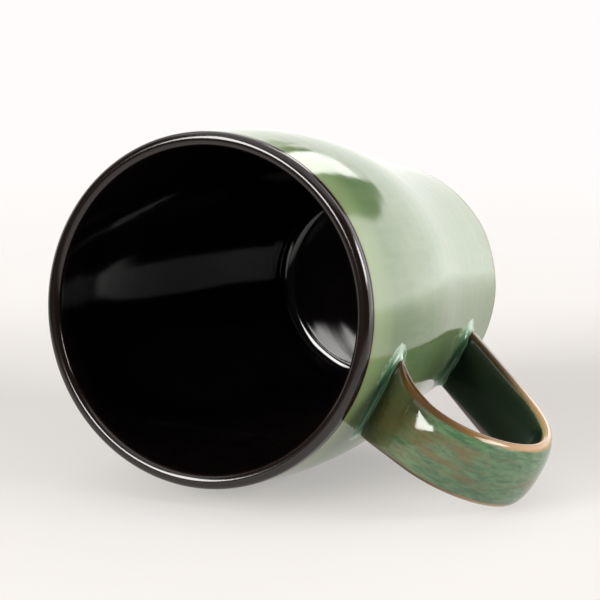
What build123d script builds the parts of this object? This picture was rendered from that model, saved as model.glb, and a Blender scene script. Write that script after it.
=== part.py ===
"""A hand-thrown stoneware mug with a pulled strap handle, as fired clay pieces and their coats of glaze.

Millimetres. +Z runs up the mug's axis and out of its mouth, the handle points along -Y,
and the origin is on that axis, in the plane that the foot ring stands on.
"""

from build123d import *
import os

# Driving dimensions
GLAZE = 0.5  # thickness of every coat of glaze
FLOOR_TOP = 9.0  # glazed floor of the inside, above the foot
FLOOR_RADIUS = 25.0  # flat part of that floor
RECESS_DEPTH = 2.5  # the turned hollow under the foot
RECESS_RADIUS = 27.5
FOOT_EASE = 0.6  # rounding of the foot ring's two bottom edges
GLAZE_LINE = 2.6  # height where the outer coat stops above the bare foot
LIP_START = 120.2  # height where the wall begins to round over into the lip
LIP_TOP = 122.0  # full height of the mug
LINER_LINE = 118.6  # height on the outside where the liner meets the outer coat
STRAP_HALF_WIDTH = 8.9  # glazed strap, away from its flared roots
STRAP_EDGE = 1.7  # rounding of the glazed strap's long edges

# Glazed outside of the wall, foot to lip: radius, height
WALL = [(33.8, 0.0), (35.2, 14.6), (37.0, 30.5), (39.4, 48.8), (42.7, 67.0), (44.3, 87.0), (44.5, 105.0),
        (43.9, LIP_START)]
# Glazed inside of the wall, floor corner to lip: radius, height
HOLLOW = [(30.0, 14.4), (32.3, 30.5), (35.1, 48.8), (38.7, 67.0), (40.6, 87.0), (40.9, 105.0), (40.3, LIP_START)]
CORNER_MIDDLE = (28.5, 10.5)  # halfway round the corner between floor and wall
DIAGONAL = 0.7  # share of an inset that moves that middle outwards, and as much downwards

# Glazed strap seen from the side, upper root to lower root: distance from the axis, height
STRAP_OUTER = [(40.0, 99.0), (43.6, 104.0), (49.0, 110.6), (55.7, 114.9), (62.8, 116.3), (69.9, 114.4),
               (77.1, 108.5), (82.3, 99.7), (84.8, 87.5), (82.7, 75.3), (76.6, 63.5), (67.0, 52.3),
               (55.7, 41.6), (46.0, 32.4), (38.1, 24.8), (33.0, 20.0)]
STRAP_INNER = [(40.0, 92.6), (43.6, 96.8), (48.6, 102.0), (54.8, 106.9), (61.5, 109.8), (67.8, 108.8),
               (73.7, 104.3), (78.1, 97.0), (80.0, 87.2), (78.2, 77.3), (72.6, 66.4), (63.5, 55.8),
               (52.8, 46.0), (43.4, 37.6), (38.4, 33.4), (33.0, 29.0)]
# Half the strap's width against distance from the axis: it flares where the upper root meets the wall
STRAP_SPREAD = [(32.0, 9.3), (37.5, 9.5), (43.0, 10.2), (47.5, 9.7), (54.0, 9.1), (62.0, STRAP_HALF_WIDTH),
                (90.0, STRAP_HALF_WIDTH)]

# Free outlines of the glaze pools. Side: distance from the axis, height. Plan: half width, distance from the axis
UPPER_POOL_SIDE = [(40.0, 94.2), (44.6, 94.4), (48.0, 101.0), (47.4, 108.9), (44.6, 109.2), (40.0, 109.2)]
UPPER_POOL_PLAN = [(13.0, 40.0), (12.6, 42.6), (9.6, 47.6)]
LOWER_POOL_SIDE = [(33.0, 20.0), (35.9, 20.2), (40.6, 26.8), (41.4, 36.2), (38.0, 37.6), (33.0, 37.6)]
LOWER_POOL_PLAN = [(12.4, 30.0), (12.0, 33.6), (10.6, 40.4)]

os.makedirs("parts", exist_ok=True)


def finish(block, name):
    block.part.label = name
    export_step(block.part, f"parts/{name}.step")


def wall_line(inset):
    """The outside of the wall, drawn in by inset."""
    return Spline(*[(radius - inset, height) for radius, height in WALL])


def hollow_line(inset):
    """The inside from the middle of the floor up to the lip, drawn into the wall by inset."""
    floor_end = (FLOOR_RADIUS, FLOOR_TOP - inset)
    corner_middle = (CORNER_MIDDLE[0] + inset * DIAGONAL, CORNER_MIDDLE[1] - inset * DIAGONAL)
    rise = [(radius + inset, height) for radius, height in HOLLOW]
    Line((0, FLOOR_TOP - inset), floor_end)
    ThreePointArc(floor_end, corner_middle, rise[0])
    Spline(*rise)


def lip_line(inset):
    """The half-round lip, from the outside over the top to the inside."""
    outer = WALL[-1][0] - inset
    inner = HOLLOW[-1][0] + inset
    ThreePointArc((outer, LIP_START), ((outer + inner) / 2, LIP_TOP - inset), (inner, LIP_START))


# Section of the fired clay vessel
with BuildSketch(Plane.XZ) as clay_section:
    with BuildLine():
        wall_line(GLAZE)
        lip_line(GLAZE)
        hollow_line(GLAZE)
        foot = WALL[0][0] - GLAZE
        Polyline((0, FLOOR_TOP - GLAZE), (0, RECESS_DEPTH), (RECESS_RADIUS, RECESS_DEPTH), (RECESS_RADIUS, 0),
                 (foot, 0))
    make_face()
    ring_edges = clay_section.vertices().group_by(Axis.Z)[0]
    fillet(ring_edges, FOOT_EASE)


def wall_coat(low, high):
    """Section of the coat on the outside of the wall, from one height to another."""
    with BuildSketch(Plane.XZ) as coat:
        with BuildLine():
            wall_line(0)
            wall_line(GLAZE)
            Line((WALL[0][0], 0), (WALL[0][0] - GLAZE, 0))
            Line((WALL[-1][0], LIP_START), (WALL[-1][0] - GLAZE, LIP_START))
        make_face()
        with Locations((0, low)):
            Rectangle(2 * LIP_TOP, high - low, align=(Align.CENTER, Align.MIN), mode=Mode.INTERSECT)
    return coat.sketch_local


# Filled outlines of the vessel, bare and glazed, that the handle's pieces are cut back to
with BuildPart() as bare_outline:
    with BuildSketch(Plane.XZ):
        with BuildLine():
            wall_line(GLAZE)
            Polyline((WALL[-1][0] - GLAZE, LIP_START), (0, LIP_START), (0, 0), (WALL[0][0] - GLAZE, 0))
        make_face()
    revolve(axis=Axis.Z)
with BuildPart() as glazed_outline:
    with BuildSketch(Plane.XZ):
        with BuildLine():
            wall_line(0)
            Polyline((WALL[-1][0], LIP_START), (0, LIP_START), (0, 0), (WALL[0][0], 0))
        make_face()
    revolve(axis=Axis.Z)


def shifted(points, distance):
    """The same run of points, each moved by distance to the left of the way the run goes there."""
    moved = []
    for before, point, after in zip(points[:1] + points, points, points[1:] + points[-1:]):
        along = (Vector(*after) - Vector(*before)).normalized()
        moved.append((point[0] - along.Y * distance, point[1] + along.X * distance))
    return moved


def strap_band(inset):
    """The whole strap with rounded long edges, drawn in by inset, still running on into the wall."""
    with BuildPart() as band:
        with BuildSketch(Plane.YZ.offset(-WALL[0][0])):
            with BuildLine():
                outer = Spline(*[(-reach, height) for reach, height in shifted(STRAP_OUTER, -inset)])
                inner = Spline(*[(-reach, height) for reach, height in shifted(STRAP_INNER, inset)])
                Line(outer @ 0, inner @ 0)
                Line(outer @ 1, inner @ 1)
            make_face()
        extrude(amount=2 * WALL[0][0])
        with BuildSketch(Plane.XY):
            with BuildLine():
                left = Spline(*[(inset - half, -reach) for reach, half in STRAP_SPREAD])
                right = Spline(*[(half - inset, -reach) for reach, half in STRAP_SPREAD])
                Line(left @ 0, right @ 0)
                Line(left @ 1, right @ 1)
            make_face()
        extrude(amount=LIP_TOP, mode=Mode.INTERSECT)
        fillet(band.edges().sort_by(SortBy.LENGTH)[-4:], STRAP_EDGE - inset)
    return band.part


bare_band = strap_band(GLAZE)
glazed_band = strap_band(0)

# The thrown vessel: wall, floor and turned foot ring in one piece of clay
with BuildPart() as thrown_body:
    add(clay_section.sketch)
    revolve(axis=Axis.Z)
finish(thrown_body, "thrown_body")

# The pulled strap, luted on to the wall at both ends
with BuildPart() as strap_handle:
    add(bare_band)
    add(bare_outline.part, mode=Mode.SUBTRACT)
finish(strap_handle, "strap_handle")

# The liner: the glaze of the inside, carried over the lip and a little way down the outside
with BuildPart() as liner_glaze:
    with BuildSketch(Plane.XZ):
        with BuildLine():
            hollow_line(0)
            lip_line(0)
            Line((WALL[-1][0], LIP_START), (WALL[-1][0] - GLAZE, LIP_START))
            lip_line(GLAZE)
            hollow_line(GLAZE)
            Line((0, FLOOR_TOP - GLAZE), (0, FLOOR_TOP))
        make_face()
        add(wall_coat(LINER_LINE, LIP_START))
    revolve(axis=Axis.Z)
finish(liner_glaze, "liner_glaze")

# The outer coat, from its line above the bare foot up to the liner, open where the strap's roots pass
with BuildPart() as outer_glaze:
    with BuildSketch(Plane.XZ):
        add(wall_coat(GLAZE_LINE, LINER_LINE))
    revolve(axis=Axis.Z)
    add(glazed_band, mode=Mode.SUBTRACT)
    add(bare_band, mode=Mode.SUBTRACT)
finish(outer_glaze, "outer_glaze")

# The strap's own coat, which runs down to the clay of the wall at both roots
with BuildPart() as handle_glaze:
    add(glazed_band)
    add(bare_band, mode=Mode.SUBTRACT)
    add(bare_outline.part, mode=Mode.SUBTRACT)
finish(handle_glaze, "handle_glaze")


def glaze_pool(side_points, plan_points):
    """Glaze pooled round one root: a tapered block, with the wall and the strap cut out of it."""
    with BuildPart() as pool:
        with BuildSketch(Plane.YZ.offset(-WALL[0][0])):
            with BuildLine():
                Polyline(*[(-reach, height) for reach, height in side_points], close=True)
            make_face()
        extrude(amount=2 * WALL[0][0])
        with BuildSketch(Plane.XY):
            with BuildLine():
                mirrored = [(-half, reach) for half, reach in reversed(plan_points)]
                Polyline(*[(half, -reach) for half, reach in plan_points + mirrored], close=True)
            make_face()
        extrude(amount=LIP_TOP, mode=Mode.INTERSECT)
        add(glazed_outline.part, mode=Mode.SUBTRACT)
        add(glazed_band, mode=Mode.SUBTRACT)
    return pool


# The upper pool, deepest in the sharp corner above the strap
upper_glaze_pool = glaze_pool(UPPER_POOL_SIDE, UPPER_POOL_PLAN)
finish(upper_glaze_pool, "upper_glaze_pool")

# The lower pool, deepest in the sharp corner inside the loop
lower_glaze_pool = glaze_pool(LOWER_POOL_SIDE, LOWER_POOL_PLAN)
finish(lower_glaze_pool, "lower_glaze_pool")
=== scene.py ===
"""Looks of a hand-thrown stoneware mug that lies on its side on a pale sweep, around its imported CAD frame.

Metres. The row frame has the mug upright, so the floor that the mug lies on is a steep plane here:
it touches the mug's side and its handle, and the studio round it is turned to match.
"""

import math

import bpy
import numpy as np
from mathutils import Matrix, Vector


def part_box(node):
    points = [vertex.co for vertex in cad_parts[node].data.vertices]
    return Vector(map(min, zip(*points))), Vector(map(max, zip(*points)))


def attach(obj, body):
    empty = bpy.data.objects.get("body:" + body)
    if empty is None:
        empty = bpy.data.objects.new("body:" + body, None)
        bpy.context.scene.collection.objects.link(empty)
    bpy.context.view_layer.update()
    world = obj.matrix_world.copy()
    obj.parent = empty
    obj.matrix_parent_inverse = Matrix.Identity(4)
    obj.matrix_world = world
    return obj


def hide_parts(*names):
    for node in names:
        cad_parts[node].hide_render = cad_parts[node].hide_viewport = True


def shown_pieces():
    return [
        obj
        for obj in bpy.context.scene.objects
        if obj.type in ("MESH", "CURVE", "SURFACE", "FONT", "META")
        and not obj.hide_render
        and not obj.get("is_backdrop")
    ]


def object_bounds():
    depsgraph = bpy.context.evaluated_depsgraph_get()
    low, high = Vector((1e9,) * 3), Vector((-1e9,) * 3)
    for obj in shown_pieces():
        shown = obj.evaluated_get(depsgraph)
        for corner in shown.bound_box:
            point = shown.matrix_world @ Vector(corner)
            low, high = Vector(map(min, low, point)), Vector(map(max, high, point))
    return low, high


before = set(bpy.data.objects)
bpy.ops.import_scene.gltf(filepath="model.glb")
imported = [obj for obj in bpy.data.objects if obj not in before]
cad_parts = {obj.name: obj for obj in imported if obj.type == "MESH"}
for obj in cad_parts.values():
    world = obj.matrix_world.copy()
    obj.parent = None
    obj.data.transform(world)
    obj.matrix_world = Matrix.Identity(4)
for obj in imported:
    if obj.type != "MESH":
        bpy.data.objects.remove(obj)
cad_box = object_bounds()
MM = 0.001

# Heights and thicknesses in millimetres
GLAZE = 0.5  # thickness of a coat
GLAZE_LINE = 2.6  # where the outer coat stops above the bare foot
LINER_LINE = 118.6  # where the liner meets the outer coat
LIP_START = 120.2
LIP_TOP = 122.0
FLOOR_TOP = 9.0  # the glazed floor of the inside

# The mug's driving shape, in millimetres: (distance from the axis, height)
WALL = [(33.8, 0.0), (35.2, 14.6), (37.0, 30.5), (39.6, 48.8), (42.5, 67.0), (44.3, 87.0), (44.5, 105.0),
        (43.9, LIP_START)]
HOLLOW = [(30.0, 14.4), (32.3, 30.5), (35.3, 48.8), (38.5, 67.0), (40.6, 87.0), (40.9, 105.0),
          (40.3, LIP_START)]
FLOOR_CORNER = [(25.0, FLOOR_TOP), (28.5, 10.5), (30.0, 14.4)]
STRAP_OUTER = [(40.0, 99.0), (43.6, 104.0), (49.0, 110.6), (55.7, 114.9), (62.8, 116.3), (69.9, 114.4),
               (77.1, 108.5), (82.3, 99.7), (84.8, 87.5), (82.7, 75.3), (76.6, 63.5), (67.0, 52.3),
               (55.7, 41.6), (46.0, 32.4), (38.1, 24.8), (33.0, 20.0)]
STRAP_INNER = [(40.0, 92.6), (43.6, 96.8), (48.6, 102.0), (54.8, 106.9), (61.5, 109.8), (67.8, 108.8),
               (73.7, 104.3), (78.1, 97.0), (80.0, 87.2), (78.2, 77.3), (72.6, 66.4), (63.5, 55.8),
               (52.8, 46.0), (43.4, 37.6), (38.4, 33.4), (33.0, 29.0)]
# How far the strap reaches to each side, against the share of its length from the upper root
NEAR_EDGE = [(0.0, 11.9), (0.04, 11.1), (0.09, 10.0), (0.14, 9.1), (0.19, 8.7), (0.25, 8.6), (0.35, 8.6),
             (0.60, 8.7), (0.78, 8.5), (0.90, 8.4), (0.96, 8.5), (1.0, 8.8)]
FAR_EDGE = [(0.0, 11.6), (0.04, 10.6), (0.09, 9.2), (0.14, 8.3), (0.19, 8.3), (0.25, 8.7), (0.35, 9.3),
            (0.60, 9.1), (0.78, 9.1), (0.87, 9.2), (0.94, 9.3), (1.0, 9.5)]

SEGMENTS = 192  # round the vessel
RIDGE_PITCH, RIDGE_DEPTH = 7.3, 0.004  # the potter's ridges on the wall
OUT_OF_ROUND = 0.05
LAP_PROUD = 0.12  # how far the liner's lap stands proud of the wall
EDGE_RISE = 0.5  # height of the coat's rolled edge above its glaze line

# ---------------------------------------------------------------- curves and meshes


def through(points, places):
    """Places, as shares of the length, on a natural cubic through the points over their chord length."""
    p = np.array(points, float)
    knots = np.concatenate([[0.0], np.cumsum(np.linalg.norm(np.diff(p, axis=0), axis=1))])
    gaps = np.diff(knots)[:, None]
    matrix, right = np.eye(len(p)), np.zeros_like(p)
    for i in range(1, len(p) - 1):
        matrix[i, i - 1 : i + 2] = gaps[i - 1, 0], 2 * (gaps[i - 1, 0] + gaps[i, 0]), gaps[i, 0]
        right[i] = 6 * ((p[i + 1] - p[i]) / gaps[i] - (p[i] - p[i - 1]) / gaps[i - 1])
    bend = np.linalg.solve(matrix, right)
    t = np.asarray(places, float) * knots[-1]
    k = np.clip(np.searchsorted(knots, t, side="right") - 1, 0, len(gaps) - 1)
    h, a, b = gaps[k], (knots[k + 1] - t)[:, None], (t - knots[k])[:, None]
    return (
        bend[k] * a**3 / (6 * h)
        + bend[k + 1] * b**3 / (6 * h)
        + (p[k] / h - bend[k] * h / 6) * a
        + (p[k + 1] / h - bend[k + 1] * h / 6) * b
    )


FINE = np.linspace(0, 1, 1200)
WALL_CURVE = through(WALL, FINE)
HOLLOW_CURVE = through(HOLLOW, FINE)


def wall_radius(height):
    return np.interp(height, WALL_CURVE[:, 1], WALL_CURVE[:, 0])


def hollow_radius(height):
    return np.interp(height, HOLLOW_CURVE[:, 1], HOLLOW_CURVE[:, 0])


def smooth(value, low, high):
    """0 at low, 1 at high, easing at both ends."""
    t = np.clip((np.asarray(value, float) - low) / (high - low), 0, 1)
    return t * t * (3 - 2 * t)


def new_object(name, points, faces, attributes=None, uvs=None, sharp=None):
    """A smooth-shaded mesh object from points in millimetres. Edges past the sharp angle stay sharp."""
    mesh = bpy.data.meshes.new(name)
    mesh.from_pydata((np.asarray(points, float) * MM).tolist(), [], faces)
    mesh.validate()
    mesh.update()
    for key, values in (attributes or {}).items():
        attribute = mesh.attributes.new(key, "FLOAT", "POINT")
        attribute.data.foreach_set("value", np.asarray(values, np.float32))
    if uvs is not None:
        layer = mesh.uv_layers.new(name="UVMap")
        loops = np.zeros(len(mesh.loops), np.int32)
        mesh.loops.foreach_get("vertex_index", loops)
        layer.data.foreach_set("uv", np.asarray(uvs, np.float32)[loops].ravel())
    mesh.shade_smooth()
    if sharp:
        mesh.set_sharp_from_angle(angle=math.radians(sharp))
    made = bpy.data.objects.new(name, mesh)
    bpy.context.scene.collection.objects.link(made)
    return made


def ring_faces(rows, columns, close_rows=False):
    """Quads between rows of a grid whose columns wrap round."""
    faces = []
    for i in range(rows if close_rows else rows - 1):
        a, b = i * columns, (i + 1) % rows * columns
        faces += [(a + j, a + (j + 1) % columns, b + (j + 1) % columns, b + j) for j in range(columns)]
    return faces


TURN = np.linspace(0, 2 * np.pi, SEGMENTS, endpoint=False)


def throwing(height, angle):
    """The potter's ridges and a trace of out-of-round, in millimetres of radius."""
    climb = height / RIDGE_PITCH + angle / (2 * np.pi)
    ridge = np.sin(2 * np.pi * climb) + 0.6 * np.sin(2 * np.pi * (climb * 0.53 + 0.3))
    return RIDGE_DEPTH * ridge + OUT_OF_ROUND * np.sin(2 * angle + 0.8) * smooth(height, 20, 110)


def lathe(profile, ripple):
    """Points of a turned profile, each moved out by its own share of the throwing ridges."""
    profile = np.asarray(profile, float)
    radius, height = profile[:, :1], profile[:, 1:]
    radius = radius + np.asarray(ripple)[:, None] * throwing(height, TURN[None, :])
    height = height + 0 * TURN[None, :]
    return np.stack([radius * np.cos(TURN), radius * np.sin(TURN), height], axis=-1)


# ---------------------------------------------------------------- vessel glazes


def arc(centre, radius_x, radius_y, start, end, count):
    t = np.radians(np.linspace(start, end, count))
    return np.stack([centre[0] + radius_x * np.cos(t), centre[1] + radius_y * np.sin(t)], axis=1)


def outer_coat():
    """The celadon coat: its wall, a rolled edge above the bare foot, and its hidden back."""
    clearance = 0.05
    start, end = GLAZE_LINE + EDGE_RISE, LINER_LINE - clearance
    heights = np.linspace(start, end, 150)
    front = np.stack([wall_radius(heights), heights], axis=1)
    back_heights = np.linspace(end, start, 40)
    back = np.stack([wall_radius(back_heights) - GLAZE - clearance, back_heights], axis=1)
    edge = arc((wall_radius(start) - 0.27, start), 0.3, 0.45, -160, -15, 7)
    profile = np.concatenate([edge, front, back])
    ripple = np.concatenate([np.full(len(edge), 0.6), np.ones(len(front)), np.full(len(back), 0.2)])
    points = lathe(profile, ripple)
    wander = 0.45 * np.sin(3 * TURN + 1.0) + 0.3 * np.sin(7 * TURN + 2.0) + 0.18 * np.sin(13 * TURN)
    near_foot = 1 - smooth(points[..., 2], GLAZE_LINE, GLAZE_LINE + 12)
    points[..., 2] += wander * near_foot
    faces = ring_faces(len(profile), SEGMENTS, close_rows=True)
    return new_object("celadon_coat", points.reshape(-1, 3), faces, sharp=50)


def liner():
    """The black liner: floor, corner, inside wall, lip and the short lap down the outside."""
    hub, flat_end = 2.0, 24.0  # radii where the flat floor begins and ends
    floor_back = FLOOR_TOP - GLAZE
    floor = np.stack([np.linspace(hub, flat_end, 12), np.full(12, FLOOR_TOP)], axis=1)
    corner = through([(flat_end, FLOOR_TOP), *FLOOR_CORNER, (30.25, 16.5)], np.linspace(0, 1, 18))
    heights = np.linspace(17.3, 120.0, 110)
    inside = np.stack([hollow_radius(heights), heights], axis=1)
    outer, inner = WALL[-1][0] + LAP_PROUD, HOLLOW[-1][0]
    lip = arc(((outer + inner) / 2, LIP_START), (outer - inner) / 2, LIP_TOP - LIP_START, 180, 0, 26)
    lap_heights = np.linspace(119.9, LINER_LINE + 0.35, 5)
    lap = np.stack([wall_radius(lap_heights) + LAP_PROUD, lap_heights], axis=1)
    edge = arc((wall_radius(LINER_LINE) - 0.1, LINER_LINE + 0.3), 0.22, 0.25, 0, -150, 6)
    shown = np.concatenate([floor, corner[1:], inside, lip, lap, edge])
    seat = 119.5  # the hidden side of the lip rises over the clay from this height
    hidden = np.array([(wall_radius(seat) - GLAZE, seat), (42.1, 121.2), (HOLLOW[-1][0] + GLAZE, seat)])
    back_heights = np.linspace(115.0, 17.0, 30)
    back_wall = np.stack([hollow_radius(back_heights) + GLAZE, back_heights], axis=1)
    back_floor = np.array([(29.2, 11.0), (26.0, 8.6), (14.0, floor_back), (hub, floor_back)])
    profile = np.concatenate([shown, hidden, back_wall, back_floor])
    ripple = np.concatenate([np.zeros(len(floor)), np.full(len(corner) - 1, 0.2), np.full(len(inside), 0.8),
                             np.full(len(lip) + len(lap) + len(edge), 0.7),
                             np.zeros(len(hidden) + len(back_wall) + len(back_floor))])
    points = lathe(profile, ripple)
    faces = ring_faces(len(profile), SEGMENTS)
    flat = points.reshape(-1, 3)
    top, bottom = len(flat), len(flat) + 1
    flat = np.concatenate([flat, [[0, 0, FLOOR_TOP], [0, 0, floor_back]]])
    last = (len(profile) - 1) * SEGMENTS
    faces += [(j, top, (j + 1) % SEGMENTS) for j in range(SEGMENTS)]
    faces += [(last + (j + 1) % SEGMENTS, bottom, last + j) for j in range(SEGMENTS)]
    return new_object("black_liner", flat, faces, sharp=60)


# ---------------------------------------------------------------- handle

AROUND = 64  # points round one section of the strap
STATIONS = 150  # sections along it
ROUNDNESS = 3.1  # exponent of the section's superellipse
CROWN, INNER_CROWN = 0.9, 0.15  # how far the faces fall away towards the edges
CROWN_THICKNESS = 5  # a thinner strap has less of that
AROUND_TURN = np.linspace(0, 2 * np.pi, AROUND, endpoint=False)


def strap_section(near, far, thick):
    """One section of the strap: across is along the row's X, out is from the loop to the outside face."""
    power = 2 / ROUNDNESS
    cosine, sine = np.cos(AROUND_TURN), np.sin(AROUND_TURN)
    share = np.sign(cosine) * np.abs(cosine) ** power
    across = share * np.where(share > 0, near, far)
    out = np.sign(sine) * np.abs(sine) ** power * thick / 2
    crown = np.where(out > 0, CROWN, INNER_CROWN) * min(1.0, thick / CROWN_THICKNESS)
    out = out - crown * share**2 * np.sign(out)
    return across, out, share


def smoothed(pairs, places):
    """A smooth curve through (place, value) pairs."""
    stretch = 100  # so that the places, not the values, set the spacing along the curve
    line = through([(place * stretch, value) for place, value in pairs], FINE)
    return np.interp(places, line[:, 0] / stretch, line[:, 1])


def strap_points():
    """Every section's points, how near each point is to an edge, and each section's place along the strap."""
    places = np.linspace(0.018, 0.995, STATIONS)
    outer, inner = through(STRAP_OUTER, places), through(STRAP_INNER, places)
    middle, normal = (outer + inner) / 2, outer - inner
    thick = np.linalg.norm(normal, axis=1)
    normal /= thick[:, None]
    along = np.concatenate([[0.0], np.cumsum(np.linalg.norm(np.diff(middle, axis=0), axis=1))])
    wander = 0.1 * np.sin(along / 9.0)
    near = smoothed(NEAR_EDGE, along / along[-1]) + wander
    far = smoothed(FAR_EDGE, along / along[-1]) + wander
    points, shares = [], []
    for i in range(STATIONS):
        across, out, share = strap_section(near[i], far[i], thick[i])
        reach = middle[i, 0] + normal[i, 0] * out
        height = middle[i, 1] + normal[i, 1] * out
        points.append(np.stack([across, -reach, height], axis=1))
        shares.append(share)
    return np.array(points), np.array(shares), along


def held_in_wall(points):
    """The same points, kept inside the clay of the wall."""
    radius = np.hypot(points[:, 0], points[:, 1])
    kept = np.clip(radius, hollow_radius(points[:, 2]) + 1.0, wall_radius(points[:, 2]) - 0.7)
    return np.stack([points[:, 0] * kept / radius, points[:, 1] * kept / radius, points[:, 2]], axis=1)


STRAP, STRAP_SHARE, STRAP_ALONG = strap_points()
STRAP[0], STRAP[-1] = held_in_wall(STRAP[0]), held_in_wall(STRAP[-1])


def strap():
    """The strap with its coat, closed at both ends inside the wall, with the measures its glaze needs."""
    faces = ring_faces(STATIONS, AROUND)
    points = STRAP.reshape(-1, 3)
    first, last = len(points), len(points) + 1
    points = np.concatenate([points, [STRAP[0].mean(0)], [STRAP[-1].mean(0)]])
    faces += [(j, first, (j + 1) % AROUND) for j in range(AROUND)]
    end = (STATIONS - 1) * AROUND
    faces += [(end + (j + 1) % AROUND, last, end + j) for j in range(AROUND)]
    total = STRAP_ALONG[-1]
    along = np.append(np.repeat(STRAP_ALONG, AROUND), [0, total])
    around = np.append(np.tile(AROUND_TURN / (2 * np.pi), STATIONS), [0, 0])
    uvs = np.stack([around, along / total], axis=1)
    attributes = {
        "edge": np.append(np.abs(STRAP_SHARE).ravel(), [0, 0]),  # 1 at either long edge
        "root": np.append(np.repeat(np.minimum(STRAP_ALONG, total - STRAP_ALONG), AROUND), [0, 0]),
        "along": along,
        "side": np.append(np.tile(np.sin(AROUND_TURN), STATIONS), [0, 0]),  # 1 outside, -1 within the loop
    }
    return new_object("strap", points, faces, attributes, uvs, sharp=70)


NEAR_TRIM = 0.45  # how much less of a pool spreads over the wall at the near edge
POOL_SINK = 0.04  # how far a pool's foot dips under the coat of the wall
POOL_STEPS = 9  # points across a pool's fillet
POOL_BACK = 0.5  # how far its hidden back lies inside the wall and the strap


def pool(name, from_start, reach_out, on_wall):
    """Glaze pooled round one root: a concave fillet between the strap and the wall, with a hidden back."""
    line = STRAP if from_start else STRAP[::-1]
    rows = []
    for j, angle in enumerate(AROUND_TURN):
        path = line[:, j]
        radius = np.hypot(path[:, 0], path[:, 1])
        clear = radius - wall_radius(path[:, 2])
        k = int(np.argmax(clear > 0))
        share = -clear[k - 1] / (clear[k] - clear[k - 1])
        corner = path[k - 1] + (path[k] - path[k - 1]) * share
        rest = np.vstack([corner, path[k:]])
        run = np.concatenate([[0.0], np.cumsum(np.linalg.norm(np.diff(rest, axis=0), axis=1))])
        swell = 1 + 0.10 * math.sin(5 * angle + 1.0) + 0.06 * math.sin(11 * angle)
        ahead = np.array([np.interp(reach_out * swell, run, rest[:, c]) for c in range(3)])
        centre = line[k].mean(0)
        radial = np.array([corner[0], corner[1], 0.0]) / np.hypot(corner[0], corner[1])
        away = corner - centre
        away -= radial * (away @ radial)
        away /= np.linalg.norm(away)
        near = max(0.0, math.cos(angle)) ** 4
        foot = corner + away * on_wall * swell * (1 - NEAR_TRIM * near)
        scale = (wall_radius(foot[2]) - POOL_SINK) / np.hypot(foot[0], foot[1])
        foot = np.array([foot[0] * scale, foot[1] * scale, foot[2]])
        inward = centre - corner
        inward /= np.linalg.norm(inward)
        ahead = ahead + inward * 0.05
        t = np.linspace(0, 1, POOL_STEPS)[:, None]
        curve = (1 - t) ** 2 * ahead + 2 * t * (1 - t) * corner + t**2 * foot
        inner_corner = corner + (inward - radial) * POOL_BACK
        rows.append(np.vstack([curve, foot - radial * POOL_BACK, inner_corner, ahead + inward * 0.6]))
    count = len(rows[0])
    faces = [tuple(reversed(f)) for f in ring_faces(AROUND, count, close_rows=True)]
    t = np.linspace(0, 1, POOL_STEPS)
    attributes = {
        "depth": np.tile(np.append(4 * t * (1 - t), [0, 0, 0]), AROUND),  # 1 in the deepest part
        "milky": np.repeat(np.abs(np.cos(AROUND_TURN)) ** 5, count),  # 1 at the strap's two edges
    }
    return new_object(name, np.vstack(rows), faces, attributes, sharp=60)


# ---------------------------------------------------------------- node helpers


def add(tree, kind, inputs=None, **settings):
    """A node with its settings, and each input set or linked."""
    made = tree.nodes.new(kind)
    for key, value in settings.items():
        setattr(made, key, value)
    for key, value in (inputs or {}).items():
        if isinstance(value, bpy.types.NodeSocket):
            tree.links.new(value, made.inputs[key])
        else:
            made.inputs[key].default_value = value
    return made


def calc(tree, operation, a, b=0.0):
    return add(tree, "ShaderNodeMath", {0: a, 1: b}, operation=operation).outputs[0]


def product(tree, a, b):
    return calc(tree, "MULTIPLY", a, b)


def ease(tree, value, low, high, start=0.0, end=1.0):
    """From start at low to end at high, smoothly. Low may be the larger of the two."""
    inputs = {0: value, 1: low, 2: high, 3: start, 4: end}
    return add(tree, "ShaderNodeMapRange", inputs, interpolation_type="SMOOTHSTEP").outputs[0]


def blend(tree, share, a, b):
    """Colour a with a share of colour b."""
    a, b = ((*c, 1.0) if isinstance(c, tuple) else c for c in (a, b))
    return add(tree, "ShaderNodeMix", {0: share, 6: a, 7: b}, data_type="RGBA").outputs[2]


def noise(tree, vector, scale, detail=3.0, rough=0.55, distortion=0.0):
    inputs = {"Vector": vector, "Scale": scale, "Detail": detail, "Roughness": rough,
              "Distortion": distortion}
    return add(tree, "ShaderNodeTexNoise", inputs).outputs[0]


def scaled(tree, vector, factors):
    return add(tree, "ShaderNodeVectorMath", {0: vector, 1: factors}, operation="MULTIPLY").outputs[0]


def attribute(tree, name):
    return add(tree, "ShaderNodeAttribute", attribute_name=name).outputs["Fac"]


def object_place(tree):
    """The point on the piece, in metres of the row frame."""
    return add(tree, "ShaderNodeTexCoord").outputs["Object"]


def coordinate(tree, place, axis):
    return add(tree, "ShaderNodeSeparateXYZ", {0: place}).outputs[axis]


def material(name):
    made = bpy.data.materials.new(name)
    made.use_nodes = True
    made.node_tree.nodes.clear()
    return made, made.node_tree


def close_off(tree, settings):
    """The principled shader with these settings, as the material's surface."""
    shader = add(tree, "ShaderNodeBsdfPrincipled", settings)
    out = add(tree, "ShaderNodeOutputMaterial")
    tree.links.new(shader.outputs[0], out.inputs[0])


def bump(tree, height, strength, distance):
    inputs = {"Height": height, "Strength": strength, "Distance": distance}
    return add(tree, "ShaderNodeBump", inputs).outputs[0]


# ---------------------------------------------------------------- materials
# Heights and distances are in metres here, but the strap's "root" and "along" are in millimetres.


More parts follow.
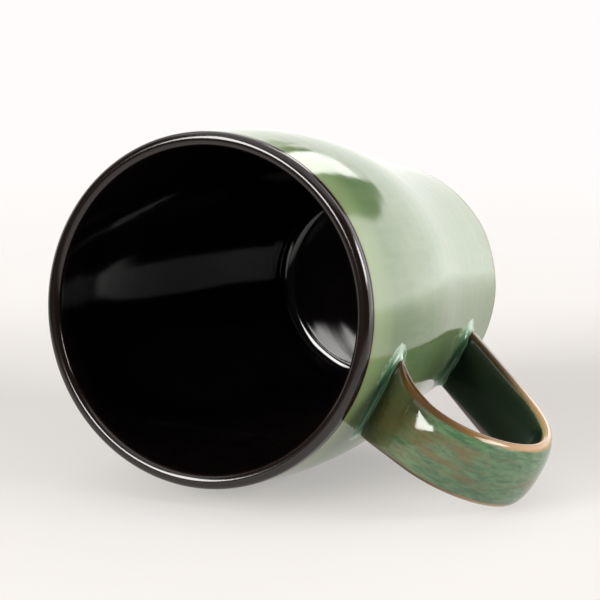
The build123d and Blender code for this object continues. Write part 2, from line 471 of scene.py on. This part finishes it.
def celadon():
    """Clouded pale green with faint vertical runs, paler under the lip and brownish where it thins."""
    green, pale_green, run_green = (0.088, 0.146, 0.059), (0.127, 0.180, 0.087), (0.150, 0.202, 0.108)
    top_green, thin_brown = (0.190, 0.255, 0.120), (0.14, 0.11, 0.050)
    made, tree = material("celadon_glaze")
    place = object_place(tree)
    height = coordinate(tree, place, 2)
    cloud = ease(tree, noise(tree, place, 38.0, 3.0, 0.5, 0.4), 0.32, 0.70)
    runs = ease(tree, noise(tree, scaled(tree, place, (1.0, 1.0, 0.16)), 260.0, 3.0), 0.38, 0.66)
    colour = blend(tree, cloud, green, pale_green)
    colour = blend(tree, product(tree, runs, 0.35), colour, run_green)
    pale_top = product(tree, ease(tree, height, 0.1030, 0.1165), 0.75)
    colour = blend(tree, pale_top, colour, top_green)
    thin_top = ease(tree, height, 0.1172, 0.1188)
    thin_foot = ease(tree, height, 0.0055, 0.0025)
    thin = calc(tree, "MAXIMUM", thin_top, thin_foot)
    colour = blend(tree, product(tree, thin, 0.5), colour, thin_brown)
    peel = noise(tree, place, 500.0, 2.0, 0.5)
    rough = ease(tree, noise(tree, place, 120.0), 0.3, 0.7, 0.06, 0.11)
    close_off(tree, {"Base Color": colour, "Roughness": rough, "IOR": 1.52,
                     "Normal": bump(tree, peel, 0.1, 0.00004)})
    return made


def black():
    """Near black and glossy, brown at its outer edge, with a band under the lip that hardly reflects."""
    coal, soft_coal, lip_black, edge_brown = ((0.0035, 0.0022, 0.0026), (0.006, 0.004, 0.0038),
                                              (0.008, 0.0045, 0.0035), (0.050, 0.026, 0.012))
    made, tree = material("black_glaze")
    place = object_place(tree)
    height = coordinate(tree, place, 2)
    lip = ease(tree, height, 0.1196, 0.1212)
    mottle = ease(tree, noise(tree, place, 240.0, 4.0), 0.35, 0.65)
    colour = blend(tree, mottle, coal, soft_coal)
    colour = blend(tree, product(tree, lip, 0.8), colour, lip_black)
    lap = ease(tree, height, 0.1198, 0.1186)
    level = scaled(tree, place, (1.0, 1.0, 0.0))
    radius = add(tree, "ShaderNodeVectorMath", {0: level}, operation="LENGTH").outputs["Value"]
    outside = product(tree, lap, calc(tree, "GREATER_THAN", radius, 0.0425))
    colour = blend(tree, product(tree, outside, 0.8), colour, edge_brown)
    peel = noise(tree, place, 400.0, 2.0, 0.5)
    below = ease(tree, height, 0.103, 0.097, 0.03, 0.47)
    above = ease(tree, height, 0.1190, 0.1205, 0.03, 0.44)
    rough = ease(tree, height, 0.1190, 0.1208, 0.065, 0.15)
    close_off(tree, {"Base Color": colour, "Roughness": rough, "IOR": 1.62,
                     "Specular IOR Level": calc(tree, "MAXIMUM", below, above),
                     "Normal": bump(tree, peel, 0.1, 0.00003)})
    return made


def clay():
    """Bare fired stoneware with iron specks and a little grit."""
    dark_clay, pale_clay, iron = (0.36, 0.235, 0.145), (0.50, 0.36, 0.24), (0.07, 0.04, 0.025)
    made, tree = material("fired_clay")
    place = object_place(tree)
    tone = ease(tree, noise(tree, place, 90.0, 5.0), 0.3, 0.7)
    colour = blend(tree, tone, dark_clay, pale_clay)
    speck = ease(tree, noise(tree, place, 1500.0, 1.0), 0.70, 0.76)
    colour = blend(tree, product(tree, speck, 0.8), colour, iron)
    grit = noise(tree, place, 2200.0, 4.0, 0.7)
    close_off(tree, {"Base Color": colour, "Roughness": 0.78, "Normal": bump(tree, grit, 0.5, 0.0002)})
    return made


def handle_coat():
    """Green with brown streaks drawn out along the strap, breaking to brown and tan at the thin edges, with
    painted shade in near black green on the face within the loop.
    """
    dark_green, green, teal = (0.050, 0.108, 0.055), (0.106, 0.178, 0.090), (0.022, 0.090, 0.055)
    brown, root_brown, shaded_loop_green = (0.130, 0.088, 0.040), (0.030, 0.030, 0.008), (0.0048, 0.0150, 0.0085)
    edge_brown, edge_tan = (0.062, 0.028, 0.005), (0.36, 0.205, 0.080)
    made, tree = material("handle_glaze")
    place = object_place(tree)
    across = coordinate(tree, place, 0)
    along = attribute(tree, "along")
    side = attribute(tree, "side")
    strip = add(tree, "ShaderNodeCombineXYZ",
                {0: product(tree, across, 1000.0), 1: product(tree, side, 6.0), 2: along}).outputs[0]
    fine = noise(tree, scaled(tree, strip, (1.0, 1.0, 0.26)), 0.85, 5.0, 0.6, 0.6)
    broad = noise(tree, scaled(tree, strip, (1.0, 1.0, 0.22)), 0.22, 3.0, 0.55, 0.5)
    spots = noise(tree, strip, 1.3, 3.0, 0.6)
    colour = blend(tree, ease(tree, fine, 0.34, 0.64), dark_green, green)
    colour = blend(tree, product(tree, ease(tree, broad, 0.46, 0.66), 0.75), colour, brown)
    colour = blend(tree, product(tree, ease(tree, spots, 0.55, 0.72), 0.45), colour, teal)
    root = attribute(tree, "root")
    ragged = calc(tree, "ADD", root, product(tree, broad, 8.0))
    ragged = calc(tree, "SUBTRACT", ragged, product(tree, across, 450.0))
    near_root = ease(tree, ragged, 30.0, 20.0)
    colour = blend(tree, product(tree, near_root, 0.9), colour, root_brown)
    broken = product(tree, calc(tree, "SUBTRACT", fine, 0.5), 0.10)
    thin = ease(tree, calc(tree, "ADD", attribute(tree, "edge"), broken), 0.83, 0.90)
    colour = blend(tree, thin, colour, blend(tree, ease(tree, root, 24.0, 54.0), edge_brown, edge_tan))
    # painted shade: the face within the loop, which faces the wall, is coloured a near black green
    within = product(tree, ease(tree, side, -0.2, -0.75), calc(tree, "SUBTRACT", 1.0, thin))
    colour = blend(tree, within, colour, shaded_loop_green)
    peel = noise(tree, place, 650.0, 2.0, 0.5)
    dull = product(tree, thin, ease(tree, root, 50.0, 30.0))
    close_off(tree, {"Base Color": colour, "Roughness": ease(tree, fine, 0.3, 0.7, 0.06, 0.13), "IOR": 1.52,
                     "Specular IOR Level": ease(tree, dull, 0.0, 1.0, 0.5, 0.16),
                     "Normal": bump(tree, peel, 0.3, 0.00006)})
    return made


def pooled():
    """Thick blue-green glaze, palest where it runs out and milky over the strap's edges."""
    thin_green, deep_green, milk = (0.230, 0.330, 0.225), (0.075, 0.185, 0.095), (0.42, 0.52, 0.42)
    made, tree = material("pooled_glaze")
    place = object_place(tree)
    cloud = noise(tree, place, 330.0, 4.0, 0.6, 0.8)
    clouding = product(tree, calc(tree, "SUBTRACT", cloud, 0.5), 0.9)
    deep = ease(tree, calc(tree, "ADD", attribute(tree, "depth"), clouding), 0.25, 0.85)
    colour = blend(tree, deep, thin_green, deep_green)
    colour = blend(tree, product(tree, attribute(tree, "milky"), 0.75), colour, milk)
    close_off(tree, {"Base Color": colour, "Roughness": 0.05, "IOR": 1.54,
                     "Normal": bump(tree, cloud, 0.15, 0.0001)})
    return made


# ---------------------------------------------------------------- pieces

coat_piece = outer_coat()
coat_piece.data.materials.append(celadon())
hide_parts("outer_glaze")

liner_piece = liner()
liner_piece.data.materials.append(black())
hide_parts("liner_glaze")

strap_piece = strap()
strap_piece.data.materials.append(handle_coat())
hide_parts("strap_handle", "handle_glaze")

pool_material = pooled()
upper_pool = pool("upper_pool", True, 2.8, 4.8)
lower_pool = pool("lower_pool", False, 3.0, 4.6)
for piece, node in ((upper_pool, "upper_glaze_pool"), (lower_pool, "lower_glaze_pool")):
    piece.data.materials.append(pool_material)
    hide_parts(node)

for piece in (coat_piece, liner_piece, strap_piece, upper_pool, lower_pool):
    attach(piece, "root")

body_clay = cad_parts["thrown_body"]
body_clay.data.materials.clear()
body_clay.data.materials.append(clay())

# ---------------------------------------------------------------- camera

CAMERA_LENS = 150.0
CAMERA_AZIMUTH, CAMERA_ELEVATION, CAMERA_ROLL = 39.81, 65.95, 99.59  # round the upright mug, in degrees
CAMERA_DISTANCE = 0.6615
SENSOR_WIDTH = 36.0
AIM_HEIGHT = 0.5475  # of the mug's height
AIM_ASIDE, AIM_TO_HANDLE = 0.0001, 0.0020  # off the mug's axis

lowest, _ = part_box("thrown_body")
aim = Vector((AIM_ASIDE, -AIM_TO_HANDLE, lowest.z + AIM_HEIGHT * (cad_box[1].z - cad_box[0].z)))
turn, rise = math.radians(CAMERA_AZIMUTH), math.radians(CAMERA_ELEVATION)
back = Vector((math.sin(turn) * math.cos(rise), -math.cos(turn) * math.cos(rise), math.sin(rise)))
camera = bpy.data.objects.new("camera", bpy.data.cameras.new("camera"))
bpy.context.scene.collection.objects.link(camera)
bpy.context.scene.camera = camera
camera.data.lens = CAMERA_LENS
camera.data.sensor_width = SENSOR_WIDTH
camera.data.clip_start, camera.data.clip_end = 0.01, 20.0
camera.location = aim + back * CAMERA_DISTANCE
upright = (-back).to_track_quat("-Z", "Y").to_matrix()
camera.rotation_mode = "QUATERNION"
camera.rotation_quaternion = (upright @ Matrix.Rotation(-math.radians(CAMERA_ROLL), 3, "Z")).to_quaternion()

# ---------------------------------------------------------------- studio

FLOOR_TURN, FLOOR_TIP = math.radians(-153.66), math.radians(-5.08)  # the way from the axis down to the floor
FLOOR_RADII = np.geomspace(0.008, 1.1, 60)
FLOOR_COLUMNS = 96
FLOOR_GAP = 0.0001  # between the mug and the floor
FLOOR_FADE = 0.14, 0.60  # radii over which the floor fades into the background
SHADOW_AHEAD, SHADOW_ASIDE = -0.085, -0.028  # where the painted soft shadow under the lip is darkest
SHADOW_RADIUS, SHADOW_DEPTH = 0.064, 0.17

down = Vector((math.cos(FLOOR_TIP) * math.cos(FLOOR_TURN), math.cos(FLOOR_TIP) * math.sin(FLOOR_TURN),
               math.sin(FLOOR_TIP)))
up = -down
forward = (-back - up * (-back).dot(up)).normalized()
right = forward.cross(up).normalized()


def furthest(direction):
    """How far the object reaches along a direction."""
    reach = 0.0
    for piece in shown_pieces():
        co = np.zeros(len(piece.data.vertices) * 3, np.float32)
        piece.data.vertices.foreach_get("co", co)
        reach = max(reach, float((co.reshape(-1, 3) @ np.array(direction)).max()))
    return reach


def sweep():
    """The pale floor: a wide disc that glows with painted light and carries a painted shadow under the lip,
    fades into the background, and shows only from above.
    """
    centre = down * (furthest(down) + FLOOR_GAP)
    angle = np.linspace(0, 2 * np.pi, FLOOR_COLUMNS, endpoint=False)
    ahead = np.append([0.0], np.outer(FLOOR_RADII, np.cos(angle)).ravel())
    aside = np.append([0.0], np.outer(FLOOR_RADII, np.sin(angle)).ravel())
    points = np.array(centre) + np.outer(ahead, np.array(forward)) + np.outer(aside, np.array(right))
    faces = [(0, 1 + (j + 1) % FLOOR_COLUMNS, 1 + j) for j in range(FLOOR_COLUMNS)]
    faces += [tuple(corner + 1 for corner in face) for face in ring_faces(len(FLOOR_RADII), FLOOR_COLUMNS)]
    attributes = {
        "distance": np.hypot(ahead, aside),
        "ahead": ahead,
        "gap": np.hypot(ahead - SHADOW_AHEAD, aside - SHADOW_ASIDE),
    }
    made = new_object("pale_floor", points / MM, faces, attributes)
    if made.data.polygons[0].normal.dot(up) < 0:
        made.data.flip_normals()
    stuff, tree = material("pale_paper")
    grain = noise(tree, object_place(tree), 14.0, 2.0)
    colour = blend(tree, grain, (0.240, 0.232, 0.226), (0.256, 0.248, 0.242))
    paper = add(tree, "ShaderNodeBsdfDiffuse", {"Color": colour})
    # painted light: the floor glows though it is no lamp, dimmer in a band through the mug and brighter ahead
    # of it and behind it
    off_centre = calc(tree, "ABSOLUTE", calc(tree, "SUBTRACT", attribute(tree, "ahead"), 0.02))
    lit = ease(tree, off_centre, 0.0, 0.18, 0.42, 0.58)
    # painted shadow: the glow is dimmed in a soft round patch under the lip
    shadow = ease(tree, attribute(tree, "gap"), SHADOW_RADIUS, 0.0, 0.0, SHADOW_DEPTH)
    lit = calc(tree, "SUBTRACT", lit, shadow)
    glow = add(tree, "ShaderNodeEmission", {"Color": (1.0, 0.962, 0.940, 1.0), "Strength": lit})
    lit_paper = add(tree, "ShaderNodeAddShader", {0: paper.outputs[0], 1: glow.outputs[0]})
    clear = add(tree, "ShaderNodeBsdfTransparent")
    behind = add(tree, "ShaderNodeNewGeometry").outputs["Backfacing"]
    faded = ease(tree, attribute(tree, "distance"), *FLOOR_FADE)
    shader = add(tree, "ShaderNodeMixShader",
                 {0: calc(tree, "MAXIMUM", behind, faded), 1: lit_paper.outputs[0], 2: clear.outputs[0]})
    out = add(tree, "ShaderNodeOutputMaterial")
    tree.links.new(shader.outputs[0], out.inputs[0])
    made.data.materials.append(stuff)
    return made


sweep()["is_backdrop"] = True


HORIZON = 14.2  # elevation of the backdrop's top edge, in degrees


def studio_light():
    """A pale sweep and soft boxes round a dark room, as a world: directions only, so nothing hangs in view.

    Azimuth is 0 straight away from the camera and grows to the right, and elevation is 0 along the floor.
    """
    world = bpy.data.worlds.new("studio")
    bpy.context.scene.world = world
    world.use_nodes = True
    tree = world.node_tree
    tree.nodes.clear()
    way = add(tree, "ShaderNodeTexCoord").outputs["Generated"]

    def along(direction):
        parts = {0: way, 1: tuple(direction)}
        return add(tree, "ShaderNodeVectorMath", parts, operation="DOT_PRODUCT").outputs["Value"]

    elevation = product(tree, calc(tree, "ARCSINE", along(up)), 180 / math.pi)
    azimuth = product(tree, calc(tree, "ARCTAN2", along(right), along(forward)), 180 / math.pi)

    def window(value, low, high, soft):
        above, below = ease(tree, value, low - soft, low + soft), ease(tree, value, high + soft, high - soft)
        return product(tree, above, below)

    def patch(start, end, bottom, top, strength, soft=0.8):
        """A soft-edged rectangle of light: its azimuths and elevations in degrees, and its strength."""
        mask = product(tree, window(azimuth, start, end, soft), window(elevation, bottom, top, soft))
        return product(tree, mask, strength)

    backdrop = product(tree, patch(-112, 112, -90, HORIZON, 1.35, 0.7), ease(tree, azimuth, -95, -60))
    brighter_right = product(tree, patch(-90, 112, -90, HORIZON, 0.75, 0.7), ease(tree, azimuth, 4, 50))
    lean = calc(tree, "MAXIMUM", product(tree, calc(tree, "ADD", azimuth, 150.0), 0.8), 0.0)
    below_slant = ease(tree, calc(tree, "SUBTRACT", elevation, lean), 26, 22)
    key = product(tree, patch(-158, -122, 12.8, 46, 18.0, 1.2), below_slant)
    lights = [
        backdrop,
        brighter_right,
        patch(12, 22.6, 16.2, 58, 3.4),  # soft box above the backdrop
        patch(8, 22.6, HORIZON, 16.2, 1.3),  # its lower, dimmer end
        patch(-70, 9, HORIZON, 60, 0.75, 2.0),  # pale wall beside it
        patch(38.8, 80, HORIZON, 50, 1.8),  # white panel at the right
        key,  # a large soft box at the left, in front, with a slanting top
        patch(84, 118, 13, 31, 16.0, 1.5),  # small soft box at the right
        patch(-180, 180, 50, 90, 1.0, 8.0),  # large overhead soft box
    ]
    total = 0.03  # the dark room between them
    for light in lights:
        total = calc(tree, "ADD", total, light)
    studio = add(tree, "ShaderNodeBackground", {"Color": (1.0, 0.985, 0.965, 1.0), "Strength": total})
    seen = add(tree, "ShaderNodeBackground", {"Color": (1.0, 0.973, 0.965, 1.0), "Strength": 1.0})
    which = add(tree, "ShaderNodeLightPath").outputs["Is Camera Ray"]
    shader = add(tree, "ShaderNodeMixShader", {0: which, 1: studio.outputs[0], 2: seen.outputs[0]})
    out = add(tree, "ShaderNodeOutputWorld")
    tree.links.new(shader.outputs[0], out.inputs[0])


studio_light()
bpy.context.scene.view_settings.view_transform = "Standard"

bpy.context.view_layer.update()
